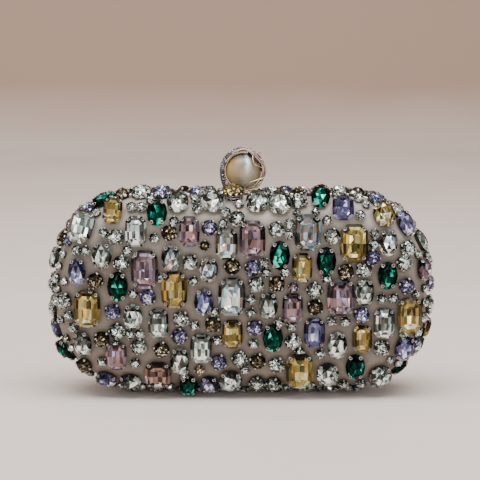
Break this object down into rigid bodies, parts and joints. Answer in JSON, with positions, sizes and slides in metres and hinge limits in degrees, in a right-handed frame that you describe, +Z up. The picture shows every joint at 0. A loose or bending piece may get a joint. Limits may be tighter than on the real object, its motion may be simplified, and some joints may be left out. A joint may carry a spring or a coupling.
{
  "type": "evening clutch",
  "caption": "Hard box clutch in two hinged halves covered in satin and set all over with faceted stones, opened by a caged pearl knob that rocks a hooked clasp",
  "frame": {"origin": "the middle of the clutch's footprint, on the surface that it stands on", "axes": "+X runs along the clutch's length to the right as seen from its front, +Y from the front to the back, +Z up"},
  "size_m": [0.189, 0.0504, 0.1227],
  "materials": {
    "satin": "pinkish taupe satin with a soft sheen, under small faceted stones in claw settings",
    "board": "moulded board under the satin",
    "lining_cloth": "smooth champagne lining cloth",
    "old_silver": "plated and darkened in its hollows",
    "gilt": "polished pale gilt",
    "pearl": "champagne pearl lustre",
    "clear_crystal": "cut and foiled at the back",
    "gold_crystal": "cut and foiled at the back",
    "pink_crystal": "cut and foiled at the back",
    "green_crystal": "cut and foiled at the back"
  },
  "bodies": {
    "rear_half": {"rear_cover": "satin", "rear_shell": "board", "rear_lining": "lining_cloth", "rear_frame": "old_silver", "hinge_pin": "old_silver", "clasp_bracket": "old_silver", "bracket_rivet_left": "old_silver", "bracket_rivet_right": "old_silver", "clasp_pin": "old_silver", "clasp_spring": "old_silver", "rear_clear_stone_1": "clear_crystal", "rear_pink_stone_1": "pink_crystal", "rear_gold_stone_1": "gold_crystal", "rear_clear_stone_2": "clear_crystal", "rear_pink_stone_2": "pink_crystal", "rear_clear_stone_3": "clear_crystal", "rear_gold_stone_2": "gold_crystal", "rear_gold_stone_3": "gold_crystal", "rear_pink_stone_3": "pink_crystal", "rear_gold_stone_4": "gold_crystal", "rear_gold_stone_5": "gold_crystal", "rear_green_stone_1": "green_crystal", "rear_green_stone_2": "green_crystal", "rear_green_stone_3": "green_crystal", "rear_green_stone_4": "green_crystal", "rear_green_stone_5": "green_crystal", "rear_green_stone_6": "green_crystal", "rear_green_stone_7": "green_crystal"},
    "front_half": {"front_cover": "satin", "front_shell": "board", "front_lining": "lining_cloth", "front_frame": "old_silver", "catch": "old_silver", "catch_rivet_left": "old_silver", "catch_rivet_right": "old_silver", "shoulder_stone": "gold_crystal", "front_clear_stone_1": "clear_crystal", "front_pink_stone_1": "pink_crystal", "front_gold_stone_1": "gold_crystal", "front_clear_stone_2": "clear_crystal", "front_pink_stone_2": "pink_crystal", "front_clear_stone_3": "clear_crystal", "front_gold_stone_2": "gold_crystal", "front_gold_stone_3": "gold_crystal", "front_pink_stone_3": "pink_crystal", "front_gold_stone_4": "gold_crystal", "front_gold_stone_5": "gold_crystal", "front_green_stone_1": "green_crystal", "front_green_stone_2": "green_crystal", "front_green_stone_3": "green_crystal", "front_green_stone_4": "green_crystal", "front_green_stone_5": "green_crystal", "front_green_stone_6": "green_crystal", "front_green_stone_7": "green_crystal"},
    "clasp": {"clasp_lever": "old_silver", "knob_base": "gilt", "knob_collar": "gilt", "pearl": "pearl", "wire_cage": "gilt", "crystal_band": "clear_crystal"}
  },
  "joints": [
    {"name": "front_opens", "type": "hinge", "parent": "rear_half", "child": "front_half", "pos_m": [0, 0, 0.0017], "axis": [1, 0, 0], "range_deg": [0, 75]},
    {"name": "knob_rocks", "type": "hinge", "parent": "rear_half", "child": "clasp", "pos_m": [0.0015, 0.004, 0.08836], "axis": [-1, 0, 0], "range_deg": [0, 9], "stiffness_Nm_per_rad": 0.05, "springref_deg": -11.46}
  ]
}
